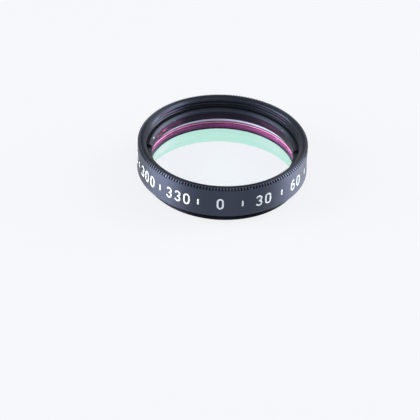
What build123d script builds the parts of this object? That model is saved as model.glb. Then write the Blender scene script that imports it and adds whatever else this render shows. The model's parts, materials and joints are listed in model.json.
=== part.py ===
from build123d import *
from math import cos, radians, sin, tan
import os

# A luminance filter: a coated glass disc in a round threaded cell, held by a slotted retaining ring.
# Millimetres, +Z up along the optical axis. The origin is the centre of the cell's lower end,
# which is the end of the male thread, and the filter stands on it.

# Thread of the 1.25 inch filter class: male below, female above, and round the retaining ring.
# It sets the diameters of everything else. Its turns are drawn plain: a male thread at its major radius,
# and an open female one at its minor radius.
thread_diameter = 28.5
thread_pitch = 0.6
minor_factor = 1.0825
male_thread_length = 1.75
male_thread_chamfer = 0.2

# Cell, outside: the shoulder is how far the wall stands out past the thread
shoulder_width = 1.25
body_height = 5.95
shoulder_chamfer = 0.15

# Rim: a bevel with straight V-grooves cut down it, and a wide lead-in to the female thread.
# Both slopes are in degrees below the flat top face.
rim_bevel = 0.2
rim_bevel_slope = 51.0
knurl_teeth = 170
groove_depth = 0.19
groove_angle = 90.0
groove_overcut = 0.05
lead_in_over_thread = 0.25
lead_in_slope = 30.0

# Glass and its seat: the glass goes in through the female thread, and laps over the seat all round
glass_inside_thread = 0.425
glass_thickness = 2.5
glass_bevel = 0.15
glass_clearance = 0.05
seat_height = 1.3
seat_lap = 0.4
seat_chamfer = 0.15
glass_above_pocket = 0.45

# Retaining ring: it laps over the glass all round
ring_height = 2.05
ring_lap = 0.6
ring_inner_chamfer = 0.47
ring_outer_chamfer = 0.15
ring_clearance = 0.03
slot_width = 1.2
slot_depth = 0.5

# Sizes that follow from the ones above
thread_radius = thread_diameter / 2
minor_radius = thread_radius - minor_factor * thread_pitch / 2
cell_radius = thread_radius + shoulder_width
cell_height = male_thread_length + body_height
lead_in_width = thread_radius + lead_in_over_thread - minor_radius
lead_in_depth = lead_in_width * tan(radians(lead_in_slope))
rim_bevel_height = rim_bevel * tan(radians(rim_bevel_slope))
glass_radius = minor_radius - glass_inside_thread
glass_top = seat_height + glass_thickness
pocket_top = glass_top - glass_above_pocket
ring_top = glass_top + ring_height

# One groove of the knurl. It runs down the bevel past both of its ends, and widens with the distance
# from the tip of the bevel's cone, so that the lands between the grooves keep their share of the rim.
slope = radians(rim_bevel_slope)
bevel_middle_radius = cell_radius - rim_bevel / 2
cone_length = bevel_middle_radius / cos(slope)
groove_reach = rim_bevel / cos(slope) / 2 + 2 * groove_depth
groove_half_width = (groove_depth + groove_overcut) * tan(radians(groove_angle / 2))
groove_plane = Plane(
    origin=(bevel_middle_radius, 0, cell_height - rim_bevel_height / 2),
    x_dir=(0, 1, 0),
    z_dir=(cos(slope), 0, -sin(slope)),
)
with BuildPart() as knurl_groove:
    for run in (-groove_reach, groove_reach):
        widening = 1 + run / cone_length
        with BuildSketch(groove_plane.offset(run)):
            Polygon(
                (0, -groove_depth * widening),
                (groove_half_width * widening, groove_overcut * widening),
                (-groove_half_width * widening, groove_overcut * widening),
                align=None,
            )
    loft(ruled=True)

# The cell is one turned piece: thread and body outside, and inside it the opening, the glass's pocket,
# the stretch of thread that the ring fills, and the open thread above it
with BuildPart() as filter_cell:
    with BuildSketch(Plane.XY):
        Circle(thread_radius)
    extrude(amount=male_thread_length)
    with BuildSketch(Plane.XY.offset(male_thread_length)):
        Circle(cell_radius)
    extrude(amount=body_height)
    with BuildSketch(Plane.XY):
        Circle(glass_radius - seat_lap)
    extrude(amount=cell_height, mode=Mode.SUBTRACT)
    with BuildSketch(Plane.XY.offset(seat_height)):
        Circle(glass_radius + glass_clearance)
    extrude(amount=cell_height - seat_height, mode=Mode.SUBTRACT)
    with BuildSketch(Plane.XY.offset(pocket_top)):
        Circle(thread_radius + ring_clearance)
    extrude(amount=ring_top + ring_clearance - pocket_top, mode=Mode.SUBTRACT)
    with BuildSketch(Plane.XY.offset(ring_top)):
        Circle(minor_radius)
    extrude(amount=cell_height - ring_top, mode=Mode.SUBTRACT)

    lower_edges = filter_cell.edges().filter_by(GeomType.CIRCLE).group_by(Axis.Z)[0].sort_by(SortBy.RADIUS)
    chamfer(lower_edges[-1], length=male_thread_chamfer)
    chamfer(lower_edges[0], length=seat_chamfer)
    wall_edges = filter_cell.edges().filter_by(GeomType.CIRCLE).group_by(SortBy.RADIUS)[-1].sort_by(Axis.Z)
    chamfer(wall_edges[0], length=shoulder_chamfer)

    top_face = filter_cell.faces().filter_by(Plane.XY).sort_by(Axis.Z)[-1]
    rim_edges = top_face.edges().sort_by(SortBy.RADIUS)
    chamfer(rim_edges[-1], length=rim_bevel, length2=rim_bevel_height, reference=top_face)
    top_face = filter_cell.faces().filter_by(Plane.XY).sort_by(Axis.Z)[-1]
    rim_edges = top_face.edges().sort_by(SortBy.RADIUS)
    chamfer(rim_edges[0], length=lead_in_width, length2=lead_in_depth, reference=top_face)

    with PolarLocations(0, knurl_teeth):
        add(knurl_groove.part, mode=Mode.SUBTRACT)
filter_cell.part.label = "filter_cell"

# The glass lies on the seat and stands a little above its pocket, so that the ring can press on it
with BuildPart() as filter_glass:
    with BuildSketch(Plane.XY.offset(seat_height)):
        Circle(glass_radius)
    extrude(amount=glass_thickness)
    chamfer(filter_glass.edges().filter_by(GeomType.CIRCLE), length=glass_bevel)
filter_glass.part.label = "filter_glass"

# The retaining ring screws down on the glass and has two spanner slots across its upper face
with BuildPart() as retaining_ring:
    with BuildSketch(Plane.XY.offset(glass_top)):
        Circle(thread_radius)
        Circle(glass_radius - ring_lap, mode=Mode.SUBTRACT)
    extrude(amount=ring_height)
    upper_edges = retaining_ring.edges().group_by(Axis.Z)[-1].sort_by(SortBy.RADIUS)
    chamfer(upper_edges[0], length=ring_inner_chamfer)
    chamfer(upper_edges[-1], length=ring_outer_chamfer)
    with BuildSketch(Plane.XY.offset(ring_top)):
        Rectangle(2 * thread_diameter, slot_width)
    extrude(amount=-slot_depth, mode=Mode.SUBTRACT)
retaining_ring.part.label = "retaining_ring"

os.makedirs("parts", exist_ok=True)
export_step(filter_cell.part, "parts/filter_cell.step")
export_step(filter_glass.part, "parts/filter_glass.step")
export_step(retaining_ring.part, "parts/retaining_ring.step")
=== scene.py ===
# A luminance filter standing on its thread: a coated glass disc in a threaded black cell, under a slotted
# ring. The shapes are worked out in millimetres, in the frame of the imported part, and become metres in
# make_piece.
import json
from collections import namedtuple
from math import asin, cos, pi, radians, sin, tan

import bmesh
import bpy
import numpy as np
from mathutils import Matrix, Vector


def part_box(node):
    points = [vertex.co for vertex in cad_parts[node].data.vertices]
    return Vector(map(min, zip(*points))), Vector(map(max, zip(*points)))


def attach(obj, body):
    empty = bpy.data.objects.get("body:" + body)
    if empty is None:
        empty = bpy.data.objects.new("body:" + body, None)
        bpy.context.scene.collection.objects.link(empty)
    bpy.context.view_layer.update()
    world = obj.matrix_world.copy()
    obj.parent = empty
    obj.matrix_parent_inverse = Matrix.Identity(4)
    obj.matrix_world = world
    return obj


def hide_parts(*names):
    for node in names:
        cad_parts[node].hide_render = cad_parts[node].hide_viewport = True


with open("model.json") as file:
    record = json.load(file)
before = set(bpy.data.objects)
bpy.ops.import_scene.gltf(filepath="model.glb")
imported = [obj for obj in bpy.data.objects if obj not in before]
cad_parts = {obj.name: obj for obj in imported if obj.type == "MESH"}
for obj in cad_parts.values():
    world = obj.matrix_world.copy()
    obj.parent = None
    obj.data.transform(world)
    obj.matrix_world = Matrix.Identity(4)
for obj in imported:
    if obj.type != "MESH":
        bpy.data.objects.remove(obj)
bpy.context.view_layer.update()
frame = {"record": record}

MM = 0.001
TURN = 2 * pi


def node_size(node):
    """The outer radius, the lower end and the upper end of a round CAD node, in millimetres."""
    low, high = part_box(node)
    return high.x / MM, low.z / MM, high.z / MM


def mount_size(name, key):
    """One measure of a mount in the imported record, in millimetres."""
    mount = next(m for m in frame["record"]["mounts"] if m["name"] == name)
    return mount["dims"][key]


# Driving sizes from the frame
CELL_RADIUS, CELL_FOOT, CELL_TOP = node_size("filter_cell")
GLASS_RADIUS, GLASS_FOOT, GLASS_TOP = node_size("filter_glass")
RING_RADIUS, RING_FOOT, RING_TOP = node_size("retaining_ring")
THREAD_RADIUS = mount_size("male_thread", "r_mm")
BORE_RADIUS = mount_size("female_thread", "r_mm")

# Thread: sixty degrees between the flanks, a flat crest and a flat root, right-handed. The male one fades out
# below the shoulder, and starts in a chamfer of forty-five degrees.
THREAD_PITCH = 0.6
FLANK_ANGLE = 30.0
MALE_DEPTH = 0.37
FEMALE_DEPTH = THREAD_RADIUS - BORE_RADIUS
MALE_CREST, FEMALE_CREST = THREAD_PITCH / 8, THREAD_PITCH / 4
ROWS_PER_TURN = 10
SHOULDER_HEIGHT = 1.75
THREAD_FADE = 0.3
THREAD_CHAMFER = 0.2

# Cell, with its corners broken by a small radius, and its wall a hair inside the box, where the paint ends
PAINT_THICKNESS = 0.012
WALL_RADIUS = CELL_RADIUS - PAINT_THICKNESS
SHOULDER_CHAMFER = 0.15
EDGE_BREAK = 0.035
RIM_BEVEL, RIM_SLOPE = 0.2, 51.0
KNURL_TEETH, GROOVE_DEPTH = 170, 0.19
LEAD_IN_RADIUS, LEAD_IN_SLOPE = 14.5, 30.0
RING_CLEARANCE, GLASS_CLEARANCE, GLASS_ABOVE_POCKET = 0.03, 0.05, 0.45
UNDERCUT_RADIUS, UNDERCUT_TOP = RING_RADIUS + RING_CLEARANCE, RING_TOP + RING_CLEARANCE
POCKET_RADIUS, POCKET_TOP = GLASS_RADIUS + GLASS_CLEARANCE, GLASS_TOP - GLASS_ABOVE_POCKET
SEAT_RADIUS, SEAT_CHAMFER = 13.1, 0.15

# Plain rows of the cell that end this far from the knurl or from the thread, to keep the flats shaded flat
WALL_MARGIN, TOP_MARGIN, FOOT_MARGIN = 0.1, 0.08, 0.1

# Retaining ring
RING_BORE, RING_INNER_CHAMFER, RING_OUTER_CHAMFER = 12.9, 0.47, 0.15
SLOT_WIDTH, SLOT_DEPTH = 1.2, 0.5
RING_THREAD_DEPTH = 0.3

# Glass: thinned by a hair at each face, and the ring as much at its foot, so that no two faces share a plane
FACE_GAP = 0.01
GLASS_BEVEL = 0.15
GLASS_IOR = 1.52

# Scale: plain figures round the wall, one for each thirty degrees, and a short tick midway between two.
# The front, where the scale starts, is at -90 degrees round the axis.
FIGURE_HEIGHT, FIGURE_WIDTH, FIGURE_GAP = 2.3, 1.3, 0.55
STROKE_WIDTH = 0.33
FIGURE_STEP = 30
TICK_HEIGHT = 0.9
FIGURE_MIDDLE = 4.45
FRONT_DEGREES = -90

# Camera: the place of the lens and the size of the picture that it gives, measured on the photograph
PICTURE_PIXELS = 420
FOCAL_PIXELS = 3335.75
SENSOR_WIDTH = 36.0
CAMERA_DISTANCE = 606.6
CAMERA_ELEVATION, CAMERA_ROLL = 34.138, 2.371
AXIS_PIXEL = (222.931, 140.626)
CLIP_METRES = 0.05, 20

# Points closer than this, in millimetres, are merged
MERGE_DISTANCE = 0.0004

# Colours: the floor and the room, the dyed metal, and its sheen
STAGE_WHITE, BLACK_DYE, SHEEN = "#fbfcfe", "#07090c", "#c4d3ff"

# Finishes, as the numbers of a piece's materials
CELL_TURNED, CELL_WALL, CELL_GROOVE, CELL_BORE = range(4)
GLASS_CROWN, GLASS_EDGE, GLASS_BACK = range(3)

# Shapes

Block = namedtuple("Block", "radius height angle turned")


def ring_of_angles(count):
    """Angles at even steps round the axis, from 0."""
    return np.arange(count) * TURN / count


def lathe_rows(profile, angles):
    """A block of plain rows: each profile point (radius, height) goes round the axis at the given angles."""
    profile = np.asarray(profile, float)
    rows = np.ones((len(profile), 1))
    columns = np.ones(len(angles))
    return Block(profile[:, :1] * columns, profile[:, 1:] * columns, rows * angles, 0)


def broken(corners, size=EDGE_BREAK, steps=3):
    """A profile whose inner corners are arcs: each starts and ends size from the corner, but never past 0.45
    of the shorter side, and follows the parabola that the corner and those two points control, which is close
    to a round arc for so small an edge."""
    corners = np.asarray(corners, float)
    middle, back, on = corners[1:-1], corners[:-2] - corners[1:-1], corners[2:] - corners[1:-1]
    lengths = np.minimum(np.linalg.norm(back, axis=1), np.linalg.norm(on, axis=1))[:, None]
    reach = np.minimum(size, 0.45 * lengths)
    start = middle + back / np.linalg.norm(back, axis=1)[:, None] * reach
    end = middle + on / np.linalg.norm(on, axis=1)[:, None] * reach
    t = np.linspace(0, 1, steps)[None, :, None]
    arcs = (1 - t) ** 2 * start[:, None] + 2 * t * (1 - t) * middle[:, None] + t**2 * end[:, None]
    return np.concatenate([corners[:1], arcs.reshape(-1, 2), corners[-1:]])


def thread_share(phase, depth, crest):
    """How deep a thread is cut, from 0 on the crest to 1 on the root, at a phase counted in turns.
    The flanks are straight: over one pitch the share goes crest, flank down, root, flank up."""
    flank = depth * tan(radians(FLANK_ANGLE)) / THREAD_PITCH
    half_crest = crest / THREAD_PITCH / 2
    corners = [0, half_crest, half_crest + flank, 1 - half_crest - flank, 1 - half_crest, 1]
    return np.interp(phase % 1, corners, [0, 0, 1, 1, 0, 0])


def thread_rows(low, high, angles, radius_at, downwards=False, ceiling=None):
    """A block whose rows climb one pitch in a turn, so that the mesh follows the crests. A row stands at
    low + pitch * (row / rows per turn - 1 + angle / full turn), held between low and high, and its radius is
    radius_at(height, phase). Rows past an end fall on it and are merged later. ceiling is the most that each
    column's height may be, which keeps a slot open."""
    turns = int(np.ceil((high - low) / THREAD_PITCH)) + 1
    row = np.arange(turns * ROWS_PER_TURN + 1)[:, None] / ROWS_PER_TURN - 1
    angle = row * 0 + angles
    height = np.clip(low + THREAD_PITCH * (row + angle / TURN), low, high)
    if ceiling is not None:
        height = np.minimum(height, ceiling)
    radius = radius_at(height, (height - low) / THREAD_PITCH - angle / TURN)
    if downwards:
        return Block(radius[::-1], height[::-1], angle, -ROWS_PER_TURN)
    return Block(radius, height, angle, ROWS_PER_TURN)


def weave(blocks):
    """Joins blocks into one closed surface, as points and four-cornered faces. A point's x is its radius
    times the cosine of its angle, y the radius times the sine, and z its height. Each is joined to the next
    one in its row and to those in the next row, and the last row to the first. Where a block climbs, the last
    column of a row meets the first column of the row one turn further on."""
    radius, height, angle = (np.concatenate([getattr(b, part) for b in blocks]) for part in Block._fields[:3])
    points = np.stack([radius * np.cos(angle), radius * np.sin(angle), height], -1)
    index = np.arange(radius.size).reshape(radius.shape)
    onward = np.roll(index, -1, axis=1)
    first = 0
    for block in blocks:
        count = len(block.radius)
        met = np.clip(np.arange(count) + block.turned, 0, count - 1)
        onward[first:first + count, -1] = index[first + met, 0]
        first += count
    quads = np.stack([index, onward, np.roll(onward, -1, axis=0), np.roll(index, -1, axis=0)], -1)
    return points.reshape(-1, 3), quads


def cell_surface():
    """The cell's whole skin, walked round its section: up the male thread, across the shoulder, up the wall,
    over the knurled bevel and the flat top, down the lead-in and the female thread, past the undercut and the
    glass pocket, and down the seat. A tooth has three columns: the bottom of a groove and its two edges.
    With it comes the finish of each face: plain turned, the finer wall with the lands of the knurl, a groove,
    or the inside below the edge of the lead-in."""
    tooth = TURN / KNURL_TEETH
    side = np.tile([0, 1, -1], KNURL_TEETH)
    middle = (np.arange(KNURL_TEETH)[:, None] * tooth + [0, 0, tooth]).ravel()
    even = middle + side * tooth / 3

    def male_radius(height, phase):
        fade = np.clip((SHOULDER_HEIGHT - height) / THREAD_FADE, 0, 1)
        cut = THREAD_RADIUS - MALE_DEPTH * fade * thread_share(phase, MALE_DEPTH, MALE_CREST)
        return np.minimum(cut, THREAD_RADIUS - THREAD_CHAMFER + height - CELL_FOOT)

    def lead_in(height):
        return LEAD_IN_RADIUS - (CELL_TOP - height) / tan(radians(LEAD_IN_SLOPE))

    def female_radius(height, phase):
        cut = BORE_RADIUS + FEMALE_DEPTH * thread_share(phase, FEMALE_DEPTH, FEMALE_CREST)
        return np.maximum(cut, lead_in(height))

    # Rim: a groove's bottom runs parallel to the bevel, and its sides stand at a right angle to each other,
    # so at a point that lies d outside the bottom's line the groove is 2 d wide and d deep.
    bevel_height = RIM_BEVEL * tan(radians(RIM_SLOPE))
    bevel_low = np.array([WALL_RADIUS, CELL_TOP - bevel_height])
    bevel_top = np.array([WALL_RADIUS - RIM_BEVEL, CELL_TOP])
    outwards = np.array([sin(radians(RIM_SLOPE)), cos(radians(RIM_SLOPE))])
    wall_reach = np.array([0, -GROOVE_DEPTH / outwards[1]])
    top_reach = np.array([-GROOVE_DEPTH / outwards[0], 0])
    rim = np.array([
        bevel_low + wall_reach, bevel_low + wall_reach / 2, bevel_low,
        (bevel_low + bevel_top) / 2, bevel_top, bevel_top + top_reach / 2, bevel_top + top_reach,
    ])
    depth = np.clip(GROOVE_DEPTH + (rim - bevel_low) @ outwards, 0, None)[:, None]
    bottom = side == 0
    rim_block = Block(
        rim[:, :1] - depth * outwards[0] * bottom,
        rim[:, 1:] - depth * outwards[1] * bottom,
        middle + side * depth / rim[:, :1],
        0,
    )

    thread_top = CELL_TOP - (LEAD_IN_RADIUS - THREAD_RADIUS) * tan(radians(LEAD_IN_SLOPE))
    shoulder = broken([
        (THREAD_RADIUS, SHOULDER_HEIGHT),
        (WALL_RADIUS - SHOULDER_CHAMFER, SHOULDER_HEIGHT),
        (WALL_RADIUS, SHOULDER_HEIGHT + SHOULDER_CHAMFER),
        rim[0] - (0, WALL_MARGIN),
    ])
    top = broken([rim[-1] - (TOP_MARGIN, 0), (LEAD_IN_RADIUS, CELL_TOP), (THREAD_RADIUS, thread_top)])
    inside = broken([
        (UNDERCUT_RADIUS, UNDERCUT_TOP), (UNDERCUT_RADIUS, POCKET_TOP), (POCKET_RADIUS, POCKET_TOP),
        (POCKET_RADIUS, GLASS_FOOT), (SEAT_RADIUS, GLASS_FOOT), (SEAT_RADIUS, SEAT_CHAMFER),
        (SEAT_RADIUS + SEAT_CHAMFER, CELL_FOOT), (THREAD_RADIUS - MALE_DEPTH - FOOT_MARGIN, CELL_FOOT),
    ])
    blocks = [
        thread_rows(CELL_FOOT, SHOULDER_HEIGHT, even, male_radius),
        lathe_rows(shoulder[1:], even),
        rim_block,
        lathe_rows(top[:-1], even),
        thread_rows(UNDERCUT_TOP, thread_top, even, female_radius, downwards=True),
        lathe_rows(inside, even),
    ]
    points, quads = weave(blocks)

    # A face belongs to the row and the column that it starts from. The inside starts at the middle of the
    # lead-in's broken edge, which is two rows after the first one of the top face.
    finish = np.full(quads.shape[:2], CELL_TURNED)
    wall_row, rim_row, top_row = np.cumsum([len(block.radius) for block in blocks[:3]])
    finish[wall_row:top_row - 1] = CELL_WALL
    finish[rim_row:top_row - 1, side != 1] = CELL_GROOVE
    finish[top_row + 2:] = CELL_BORE
    return points, quads, finish.ravel()


def ring_surface(arc_columns=150, edge=0.03):
    """The retaining ring's skin: up its thread, over its flat top, down the chamfer and the bore, and back
    along its foot. Two slots cross it on the X axis. Columns in a slot keep their distance from that axis,
    so the slot's sides are flat, and no column in a slot rises above the slot's floor."""
    in_slot = np.array([0, 0.5, 1] + [0] * (arc_columns + 1) + [-1, -0.5])
    share = np.tile(in_slot, 2).astype(float)
    arc = np.tile(np.concatenate([[-1] * 3, np.linspace(0, 1, arc_columns + 1), [-1] * 2]), 2)
    on_arc = arc >= 0
    half_turn = np.repeat([0, pi], len(in_slot))
    slot_centre = half_turn + np.where(share < 0, pi, 0)
    ceiling = np.where(on_arc, RING_TOP, RING_TOP - SLOT_DEPTH)
    foot = RING_FOOT + FACE_GAP

    def placed(radius):
        edge_angle = np.arcsin(SLOT_WIDTH / 2 / radius)
        across = slot_centre + np.arcsin(share * SLOT_WIDTH / 2 / radius)
        return np.where(on_arc, half_turn + edge_angle + arc * (pi - 2 * edge_angle), across)

    def ring_radius(height, phase):
        cut = RING_RADIUS - RING_THREAD_DEPTH * thread_share(phase, RING_THREAD_DEPTH, MALE_CREST)
        low_cone = RING_RADIUS - RING_OUTER_CHAMFER + (height - foot)
        high_cone = RING_RADIUS - RING_OUTER_CHAMFER + (RING_TOP - height)
        return np.minimum(cut, np.minimum(low_cone, high_cone))

    def plain(profile):
        rows = lathe_rows(profile, half_turn)
        return Block(rows.radius, np.minimum(rows.height, ceiling), placed(rows.radius), 0)

    angles = placed(np.full(len(share), RING_RADIUS))
    outside = thread_rows(foot, RING_TOP, angles, ring_radius, ceiling=ceiling)
    outside = outside._replace(angle=placed(outside.radius))
    flat_radius = RING_RADIUS - 2 * RING_OUTER_CHAMFER - RING_THREAD_DEPTH
    inside = broken([
        (flat_radius, RING_TOP), (RING_BORE + RING_INNER_CHAMFER, RING_TOP),
        (RING_BORE, RING_TOP - RING_INNER_CHAMFER), (RING_BORE, foot), (flat_radius, foot),
    ], edge)
    return weave([outside, plain(inside)])


def glass_surface(columns=360, rings=5):
    """The disc's skin, from the middle of its lower face to the middle of its upper one, and the finish of
    each face: the coated back, the ground edge with its two bevels, and the polished crown."""
    low, high = GLASS_FOOT + FACE_GAP, GLASS_TOP - FACE_GAP
    radii = np.linspace(0, GLASS_RADIUS - GLASS_BEVEL, rings + 1)
    back = np.stack([radii, np.full(rings + 1, low)], 1)
    edge = np.array([(GLASS_RADIUS, low + GLASS_BEVEL), (GLASS_RADIUS, high - GLASS_BEVEL)])
    crown = np.stack([radii[::-1], np.full(rings + 1, high)], 1)
    profile = np.concatenate([back, edge, crown])
    points, quads = weave([lathe_rows(profile, ring_of_angles(columns))])
    finish = np.repeat([GLASS_BACK, GLASS_EDGE, GLASS_CROWN], [rings, len(edge) + 1, rings])
    return points, quads[:-1], np.repeat(finish, columns)


# Figures: each is a few strokes, cut by a round tool that follows straight lines and arcs.
# Strokes are in a box 1 wide and 1 high, measured from its middle.


def line(*corners, step=0.05):
    """Points at even steps along straight runs between the corners."""
    corners = np.array(corners, float)
    runs = [
        a + (b - a) * np.linspace(0, 1, max(2, int(np.linalg.norm(b - a) / step)) + 1)[:, None]
        for a, b in zip(corners[:-1], corners[1:])
    ]
    return np.concatenate(runs[:1] + [run[1:] for run in runs[1:]])


def arc(centre, radii, start, end, steps=22):
    """Points on an ellipse's arc from one angle to another, in degrees, at even steps of the angle."""
    angle = np.radians(np.linspace(start, end, steps + 1))
    return np.stack([centre[0] + radii[0] * np.cos(angle), centre[1] + radii[1] * np.sin(angle)], 1)


def joined(*parts):
    """One stroke from parts that start where the one before ends."""
    return np.concatenate([parts[0]] + [part[1:] for part in parts[1:]])


def figure_strokes():
    """The strokes of the ten figures, in their box."""
    half = 0.5
    return {
        "0": [joined(arc((0, 0.2), (half, 0.3), 0, 180), line((-half, 0.2), (-half, -0.2)),
                     arc((0, -0.2), (half, 0.3), 180, 360), line((half, -0.2), (half, 0.2)))],
        "1": [line((-0.28, 0.3), (0.05, half), (0.05, -half))],
        "2": [joined(arc((0, 0.22), (half, 0.28), 165, -35),
                     line((0.41, 0.06), (-half, -half), (half, -half)))],
        "3": [joined(arc((0, 0.25), (0.46, 0.25), 150, -90), arc((0, -0.25), (half, 0.25), 90, -150))],
        "4": [line((0.2, -half), (0.2, half), (-half, -0.2), (half, -0.2))],
        "5": [joined(line((0.42, half), (-0.38, half), (-0.44, 0.02)),
                     arc((0, -0.17), (half, 0.33), 145, -150))],
        "6": [joined(arc((0.1, -0.1), (0.6, 0.6), 75, 180), arc((0, -0.2), (half, 0.3), 180, 540))],
        "7": [line((-half, half), (half, half), (-0.12, -half))],
        "8": [joined(arc((0, 0.25), (0.42, 0.25), -90, 270), arc((0, -0.25), (half, 0.25), 90, 450))],
        "9": [joined(arc((-0.1, 0.1), (0.6, 0.6), -105, 0), arc((0, 0.2), (half, 0.3), 0, 360))],
    }


def painted_stroke(path, middle_angle):
    """A stroke of paint on the wall, as points and faces: a closed section carried along the path, with round
    ends. The section is a low dome with steep sides, whose edges and underside lie below the wall's surface.
    An end goes on for half the stroke's width, and at a share d of that its width is the square root of
    1 - d^2. The flat path is wrapped round the wall, x as an arc's length and y as height."""
    end = np.array([1.0, 0.8, 0.45])
    end_width = np.sqrt(1 - np.minimum(end, 0.96) ** 2)
    across = np.array([-1, -0.9, -0.5, 0, 0.5, 0.9, 1, 0])
    height = np.array([-0.5, 0.55, 0.9, 1, 0.9, 0.55, -0.5, -0.8]) * PAINT_THICKNESS

    ahead = np.gradient(path, axis=0)
    ahead /= np.linalg.norm(ahead, axis=1)[:, None]
    reach = end[:, None] * STROKE_WIDTH / 2
    width = np.concatenate([end_width, np.ones(len(path)), end_width[::-1]])
    path = np.concatenate([path[:1] - ahead[:1] * reach, path, path[-1:] + ahead[-1:] * reach[::-1]])
    ahead = np.concatenate([ahead[:1].repeat(len(end), 0), ahead, ahead[-1:].repeat(len(end), 0)])
    side = np.stack([-ahead[:, 1], ahead[:, 0]], 1)
    flat = path[:, None] + side[:, None] * (across * STROKE_WIDTH / 2)[None, :, None] * width[:, None, None]
    radius = WALL_RADIUS + np.broadcast_to(height, flat.shape[:2])
    angle = middle_angle + flat[..., 0] / WALL_RADIUS
    points = np.stack([radius * np.cos(angle), radius * np.sin(angle), flat[..., 1]], -1)
    rows, columns = radius.shape
    index = np.arange(rows * columns).reshape(rows, columns)
    onward = np.roll(index, -1, axis=1)
    quads = np.stack([index[:-1], index[1:], onward[1:], onward[:-1]], -1).reshape(-1, 4)
    return points.reshape(-1, 3), quads


def scale_surface():
    """All the strokes of the scale: figures centred on every thirtieth degree, counted from the front, and a
    tick midway between two."""
    strokes = figure_strokes()
    size = np.array([FIGURE_WIDTH, FIGURE_HEIGHT]) - STROKE_WIDTH
    pitch = FIGURE_WIDTH + FIGURE_GAP
    tick = line((0, FIGURE_MIDDLE - TICK_HEIGHT / 2), (0, FIGURE_MIDDLE + TICK_HEIGHT / 2))
    parts = []
    for degrees in range(0, 360, FIGURE_STEP):
        text, angle = str(degrees), FRONT_DEGREES + degrees
        for place, figure in enumerate(text):
            shift = np.array([(place - (len(text) - 1) / 2) * pitch, FIGURE_MIDDLE])
            parts += [painted_stroke(s * size + shift, radians(angle)) for s in strokes[figure]]
        parts.append(painted_stroke(tick, radians(angle + FIGURE_STEP / 2)))
    starts = np.cumsum([0] + [len(p) for p, _ in parts[:-1]])
    points = np.concatenate([p for p, _ in parts])
    return points, np.concatenate([q + start for (_, q), start in zip(parts, starts)])


def make_piece(name, points, quads, materials, finish=None, crease=32.0):
    """A mesh object from points in millimetres and four-cornered faces. Points that fall together are merged,
    which closes seams, poles and the ends of threads, and the faces are turned outwards by the volume's sign.
    Edges that turn by more than crease degrees stay sharp."""
    mesh = bpy.data.meshes.new(name)
    quads = quads.reshape(-1, 4)
    mesh.vertices.add(len(points))
    mesh.vertices.foreach_set("co", (points * MM).astype(np.float32).ravel())
    mesh.loops.add(quads.size)
    mesh.loops.foreach_set("vertex_index", quads.astype(np.int32).ravel())
    mesh.polygons.add(len(quads))
    mesh.polygons.foreach_set("loop_start", np.arange(len(quads), dtype=np.int32) * 4)
    if finish is not None:
        mesh.polygons.foreach_set("material_index", finish.astype(np.int32))
    mesh.update()
    work = bmesh.new()
    work.from_mesh(mesh)
    bmesh.ops.remove_doubles(work, verts=work.verts, dist=MERGE_DISTANCE * MM)
    bmesh.ops.dissolve_degenerate(work, edges=work.edges, dist=MERGE_DISTANCE * MM)
    if work.calc_volume(signed=True) < 0:
        bmesh.ops.reverse_faces(work, faces=work.faces)
    work.to_mesh(mesh)
    work.free()
    mesh.shade_smooth()
    mesh.set_sharp_from_angle(angle=radians(crease))
    for material in materials:
        mesh.materials.append(material)
    piece = bpy.data.objects.new(name, mesh)
    bpy.context.scene.collection.objects.link(piece)
    return piece


# Materials


def linear(hex_colour):
    """A colour written as sRGB hex, as linear red, green, blue and a full alpha."""
    parts = [int(hex_colour[i:i + 2], 16) / 255 for i in (1, 3, 5)]
    return [c / 12.92 if c <= 0.04045 else ((c + 0.055) / 1.055) ** 2.4 for c in parts] + [1.0]


def add_node(tree, kind, settings=None, **inputs):
    """Adds a node. settings are its own properties. inputs are values or linked sockets, by the socket's name
    with _ for a space, or by its number as _0."""
    node = tree.nodes.new(kind)
    for name, value in (settings or {}).items():
        setattr(node, name, value)
    for name, value in inputs.items():
        key = int(name[1:]) if name[0] == "_" else name.replace("_", " ")
        if isinstance(value, bpy.types.NodeSocket):
            tree.links.new(value, node.inputs[key])
        else:
            node.inputs[key].default_value = value
    return node


def new_material(name):
    """A material with an empty node tree, and that tree."""
    material = bpy.data.materials.new(name)
    material.use_nodes = True
    material.node_tree.nodes.clear()
    return material, material.node_tree


def finish_with(tree, shader):
    """Links a shader to the material's output."""
    add_node(tree, "ShaderNodeOutputMaterial", Surface=shader)


def colour_ramp(tree, share, stops):
    """A colour that runs through two or more stops, each the share where it lies and its colour."""
    ramp = add_node(tree, "ShaderNodeValToRGB", Fac=share)
    for place, _ in stops[2:]:
        ramp.color_ramp.elements.new(place)
    for element, (place, hex_colour) in zip(ramp.color_ramp.elements, stops):
        element.position, element.color = place, linear(hex_colour)
    return ramp.outputs[0]


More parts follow.
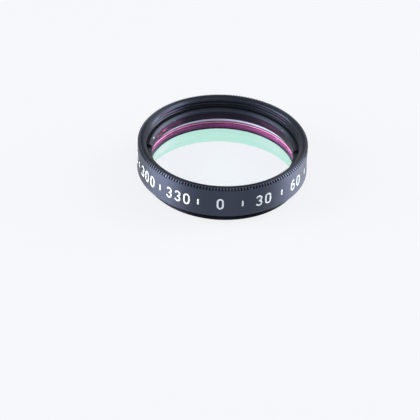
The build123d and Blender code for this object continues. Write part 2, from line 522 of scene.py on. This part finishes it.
def turned_position(tree, around, across):
    """A pattern's position that follows lathe marks: the direction round the axis, stretched over `around`
    millimetres, and the way along the profile, radius plus height, over `across` millimetres."""
    place = add_node(tree, "ShaderNodeTexCoord").outputs["Object"]
    split = add_node(tree, "ShaderNodeSeparateXYZ", Vector=place)
    flat = add_node(tree, "ShaderNodeCombineXYZ", X=split.outputs["X"], Y=split.outputs["Y"])
    radius = add_node(tree, "ShaderNodeVectorMath", {"operation": "LENGTH"}, _0=flat.outputs[0])
    along = add_node(
        tree, "ShaderNodeMath", {"operation": "ADD"},
        _0=radius.outputs["Value"], _1=split.outputs["Z"],
    )
    rows = add_node(
        tree, "ShaderNodeMath", {"operation": "MULTIPLY"},
        _0=along.outputs[0], _1=1 / (across * MM),
    )
    lift = add_node(tree, "ShaderNodeCombineXYZ", Z=rows.outputs[0])
    turned = add_node(
        tree, "ShaderNodeVectorMath", {"operation": "SCALE"},
        _0=flat.outputs[0], Scale=1 / (around * MM),
    )
    return add_node(
        tree, "ShaderNodeVectorMath", {"operation": "ADD"},
        _0=turned.outputs[0], _1=lift.outputs[0],
    ).outputs[0]


def black_anodised_aluminium(finish, dust, roughness, ior, brushed=0.0, dye_and_painted_shade=BLACK_DYE):
    """Turned aluminium, etched satin and dyed black. The oxide is clear and hard, so the eye gets a black
    body under a soft blue-grey sheen that whitens at grazing angles. Lathe marks and a fine grain roughen it,
    and brushed stretches its highlights across the marks. The roughness drifts over a few millimetres. One in
    ten cells of a pattern 0.9 mm wide holds a speck of dust, up to 0.2 of the cell in radius. A black darker
    than the dye, given for the knurl's grooves, is painted shade."""
    material, tree = new_material("black_anodised_aluminium_" + finish)
    place = add_node(tree, "ShaderNodeTexCoord").outputs["Object"]
    marks = add_node(
        tree, "ShaderNodeTexNoise",
        Vector=turned_position(tree, around=3.0, across=0.09), Scale=1.0, Detail=2.0,
    )
    grain = add_node(tree, "ShaderNodeTexNoise", Vector=place, Scale=1 / (0.16 * MM), Detail=3.0)
    relief = add_node(
        tree, "ShaderNodeMath", {"operation": "MULTIPLY_ADD"},
        _0=marks.outputs[0], _1=0.6, _2=grain.outputs[0],
    )
    bump = add_node(tree, "ShaderNodeBump", Height=relief.outputs[0], Strength=0.06, Distance=0.01 * MM)
    cloud = add_node(tree, "ShaderNodeTexNoise", Vector=place, Scale=1 / (4.0 * MM), Detail=2.0)
    rough = add_node(
        tree, "ShaderNodeMapRange",
        Value=cloud.outputs[0], To_Min=roughness - 0.05, To_Max=roughness + 0.06,
    )
    specks = add_node(tree, "ShaderNodeTexVoronoi", Vector=place, Scale=1 / (0.9 * MM))
    picked = add_node(tree, "ShaderNodeSeparateColor", Color=specks.outputs["Color"])
    size = add_node(
        tree, "ShaderNodeMapRange",
        Value=picked.outputs[0], From_Min=0.9, From_Max=1.0, To_Min=0.0, To_Max=0.2,
    )
    speck = add_node(
        tree, "ShaderNodeMath", {"operation": "LESS_THAN"},
        _0=specks.outputs["Distance"], _1=size.outputs[0],
    )
    base = add_node(
        tree, "ShaderNodeMix", {"data_type": "RGBA"},
        _0=speck.outputs[0], _6=linear(dye_and_painted_shade), _7=linear(dust),
    )
    around = add_node(tree, "ShaderNodeTangent", {"direction_type": "RADIAL", "axis": "Z"})
    shader = add_node(
        tree, "ShaderNodeBsdfPrincipled",
        Base_Color=base.outputs[2], Roughness=rough.outputs[0], Metallic=0.0, IOR=ior,
        Specular_Tint=linear(SHEEN), Normal=bump.outputs[0],
        Tangent=around.outputs[0], Anisotropic=brushed, Anisotropic_Rotation=0.25,
    )
    finish_with(tree, shader.outputs[0])
    return material


def white_paint_fill():
    """White paint wiped into cut figures: a flat, slightly chalky white with uneven cover."""
    material, tree = new_material("white_paint_fill")
    place = add_node(tree, "ShaderNodeTexCoord").outputs["Object"]
    cover = add_node(tree, "ShaderNodeTexNoise", Vector=place, Scale=1 / (0.25 * MM), Detail=3.0)
    colour = colour_ramp(tree, cover.outputs[0], [(0.3, "#979da5"), (0.55, "#b3b7bb")])
    shader = add_node(tree, "ShaderNodeBsdfPrincipled", Base_Color=colour, Roughness=0.55)
    finish_with(tree, shader.outputs[0])
    return material


def lamp_through(tree, shader, share):
    """Lets lamps' light straight through a glass shader, dimmed to a share, so that what is behind the glass
    is lit. The eye's own rays still bend."""
    path = add_node(tree, "ShaderNodeLightPath")
    clear = add_node(tree, "ShaderNodeBsdfTransparent", Color=linear(share))
    return add_node(
        tree, "ShaderNodeMixShader",
        _0=path.outputs["Is Shadow Ray"], _1=shader, _2=clear.outputs[0],
    ).outputs[0]


def coated_face(name, through, mirrored):
    """A polished face of crown glass under an interference coating: what isn't let through is mirrored, so
    the two colours add up to white or nearly so."""
    material, tree = new_material(name)
    bent = add_node(tree, "ShaderNodeBsdfRefraction", Color=linear(through), Roughness=0.0, IOR=GLASS_IOR)
    mirror = add_node(tree, "ShaderNodeBsdfAnisotropic", Color=linear(mirrored), Roughness=0.0)
    both = add_node(tree, "ShaderNodeAddShader", _0=bent.outputs[0], _1=mirror.outputs[0])
    finish_with(tree, lamp_through(tree, both.outputs[0], share="#e6ece9"))
    return material


def ground_glass_edge():
    """The disc's fine-ground edge: seen through the glass it is a matt band with a little grit, light
    blue-grey above, with a painted pink reflection on the lower bevel and painted dark-grey shade up to a
    third of the height, deep in the pocket."""
    material, tree = new_material("ground_glass_edge")
    place = add_node(tree, "ShaderNodeTexCoord").outputs["Object"]
    split = add_node(tree, "ShaderNodeSeparateXYZ", Vector=place)
    share = add_node(
        tree, "ShaderNodeMapRange", Value=split.outputs["Z"],
        From_Min=GLASS_FOOT * MM, From_Max=GLASS_TOP * MM,
    )
    grit = add_node(tree, "ShaderNodeTexNoise", Vector=place, Scale=1 / (0.12 * MM), Detail=2.0)
    uneven = add_node(
        tree, "ShaderNodeMath", {"operation": "MULTIPLY_ADD"},
        _0=grit.outputs[0], _1=0.04, _2=share.outputs[0],
    )
    # Painted by height: a pink reflection on the lower bevel and dark-grey shade in the pocket, under the
    # edge's light blue-grey
    colour = colour_ramp(tree, uneven.outputs[0], [
        (0.05, "#e48fb8"), (0.09, "#434e55"), (0.3, "#4c585f"), (0.38, "#b6c8d4"), (1.0, "#b2c6d4"),
    ])
    shader = add_node(tree, "ShaderNodeBsdfDiffuse", Color=colour)
    finish_with(tree, lamp_through(tree, shader.outputs[0], share="#808488"))
    return material


def seen_directly(tree):
    """1 for rays from the eye, and for those that come by a mirror or through glass, else 0."""
    path = add_node(tree, "ShaderNodeLightPath")
    both = add_node(
        tree, "ShaderNodeMath", {"operation": "MAXIMUM"},
        _0=path.outputs["Is Camera Ray"], _1=path.outputs["Is Glossy Ray"],
    )
    return add_node(
        tree, "ShaderNodeMath", {"operation": "MAXIMUM"},
        _0=both.outputs[0], _1=path.outputs["Is Transmission Ray"],
    ).outputs[0]


def white_sweep(glow, body):
    """A white studio sweep: it glows evenly to the eye, and a little more of its white is lit, so that it
    takes soft shadows."""
    material, tree = new_material("white_studio_sweep")
    strength = add_node(tree, "ShaderNodeMath", {"operation": "MULTIPLY"}, _0=seen_directly(tree), _1=glow)
    light = add_node(tree, "ShaderNodeEmission", Color=linear(STAGE_WHITE), Strength=strength.outputs[0])
    lit = add_node(tree, "ShaderNodeBsdfDiffuse", Color=linear(body))
    both = add_node(tree, "ShaderNodeAddShader", _0=light.outputs[0], _1=lit.outputs[0])
    finish_with(tree, both.outputs[0])
    return material


# Stage: floor, world, lamps and camera


def floor_disc(radius=900.0, rings=24, columns=96):
    """A flat disc under the object: rings at radii that grow as the square of their number, closed at the
    middle."""
    radii = radius * np.linspace(1, 0, rings) ** 2
    points, quads = weave([lathe_rows(np.stack([radii, np.zeros(rings)], 1), ring_of_angles(columns))])
    return points, quads[:-1]


def white_room():
    """The world: an even white on every side."""
    world = bpy.data.worlds.new("white_room")
    world.use_nodes = True
    tree = world.node_tree
    tree.nodes.clear()
    light = add_node(tree, "ShaderNodeBackground", Color=linear(STAGE_WHITE), Strength=1.0)
    add_node(tree, "ShaderNodeOutputWorld", Surface=light.outputs[0])
    bpy.context.scene.world = world


def softbox(name, azimuth, elevation, distance, size, watts):
    """A square white lamp that faces the object, in degrees, metres and watts. Azimuth 0 is in front, and it
    grows to the right."""
    a, e = radians(azimuth), radians(elevation)
    way = Vector((sin(a) * cos(e), -cos(a) * cos(e), sin(e)))
    lamp = bpy.data.lights.new(name, "AREA")
    lamp.shape, lamp.size, lamp.energy = "SQUARE", size, watts
    holder = bpy.data.objects.new(name, lamp)
    holder.location = way * distance + Vector((0, 0, CELL_TOP * MM / 2))
    holder.rotation_mode = "QUATERNION"
    holder.rotation_quaternion = way.to_track_quat("Z", "Y")
    bpy.context.scene.collection.objects.link(holder)


def rotation(axis, angle):
    """A turn about an axis by an angle in radians, as a numpy matrix."""
    return np.array(Matrix.Rotation(angle, 3, axis))


def photograph_camera():
    """The camera of the photograph. It looks at the middle of the top face from the front, rolls a little,
    and then turns so that this point falls on its pixel. In the picture x is right and y is down."""
    elevation = radians(CAMERA_ELEVATION)
    forward = np.array([0, cos(elevation), -sin(elevation)])
    right = np.array([1.0, 0, 0])
    level = np.array([right, -np.cross(right, forward), forward])
    aim = np.array([AXIS_PIXEL[0] - PICTURE_PIXELS / 2, AXIS_PIXEL[1] - PICTURE_PIXELS / 2, FOCAL_PIXELS])
    aim /= np.linalg.norm(aim)
    yaw, pitch = np.arctan2(aim[0], aim[2]), -asin(aim[1])
    turn = rotation("Y", yaw) @ rotation("X", pitch) @ rotation("Z", radians(CAMERA_ROLL)) @ level
    place = np.array([0, 0, CELL_TOP]) - forward * CAMERA_DISTANCE
    data = bpy.data.cameras.new("photograph_camera")
    data.sensor_width = SENSOR_WIDTH
    data.lens = FOCAL_PIXELS / PICTURE_PIXELS * SENSOR_WIDTH
    data.clip_start, data.clip_end = CLIP_METRES
    camera = bpy.data.objects.new("photograph_camera", data)
    turned = Matrix((turn[0], -turn[1], -turn[2])).transposed().to_4x4()
    camera.matrix_world = Matrix.Translation(place * MM) @ turned
    bpy.context.scene.collection.objects.link(camera)
    bpy.context.scene.camera = camera


# The object

turned_black = black_anodised_aluminium("turned", "#aab0b8", roughness=0.5, ior=1.24, brushed=0.92)
wall_black = black_anodised_aluminium("wall", "#4c525a", roughness=0.47, ior=1.68, brushed=0.8)
# The knurl's grooves: their darker black and their darker dust are painted shade in the recess
groove_black_painted_shade = black_anodised_aluminium("groove", "#30343a", roughness=0.6, ior=1.2, dye_and_painted_shade="#020203")
bore_black = black_anodised_aluminium("bore", "#aab0b8", roughness=0.3, ior=1.31)
ring_black = black_anodised_aluminium("ring", "#8f959d", roughness=0.45, ior=1.27)

points, quads, finish = cell_surface()
cell_finishes = [turned_black, wall_black, groove_black_painted_shade, bore_black]
cell = make_piece("threaded_cell", points, quads, cell_finishes, finish)
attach(cell, "root")
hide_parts("filter_cell")

ring = make_piece("slotted_ring", *ring_surface(), [ring_black])
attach(ring, "root")
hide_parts("retaining_ring")

crown = coated_face("clear_coated_crown_glass", through="#f8f8f8", mirrored="#171a1c")
back = coated_face("dichroic_coated_glass", through="#cafbea", mirrored="#b04e88")
points, quads, finish = glass_surface()
glass = make_piece("coated_disc", points, quads, [crown, ground_glass_edge(), back], finish)
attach(glass, "root")
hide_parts("filter_glass")

figures = make_piece("scale_figures", *scale_surface(), [white_paint_fill()])
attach(figures, "root")

# The stage

floor = make_piece("studio_floor", *floor_disc(), [white_sweep(glow=0.85, body="#2a2c2e")])
white_room()
softbox("left_softbox", azimuth=-80, elevation=22, distance=0.5, size=0.42, watts=12.0)
softbox("right_softbox", azimuth=104, elevation=22, distance=0.5, size=0.4, watts=11.0)
softbox("front_softbox", azimuth=10, elevation=40, distance=0.6, size=0.3, watts=1.5)
softbox("high_softbox", azimuth=112, elevation=56, distance=0.5, size=0.12, watts=1.0)
photograph_camera()
bpy.context.scene.view_settings.view_transform = "Standard"
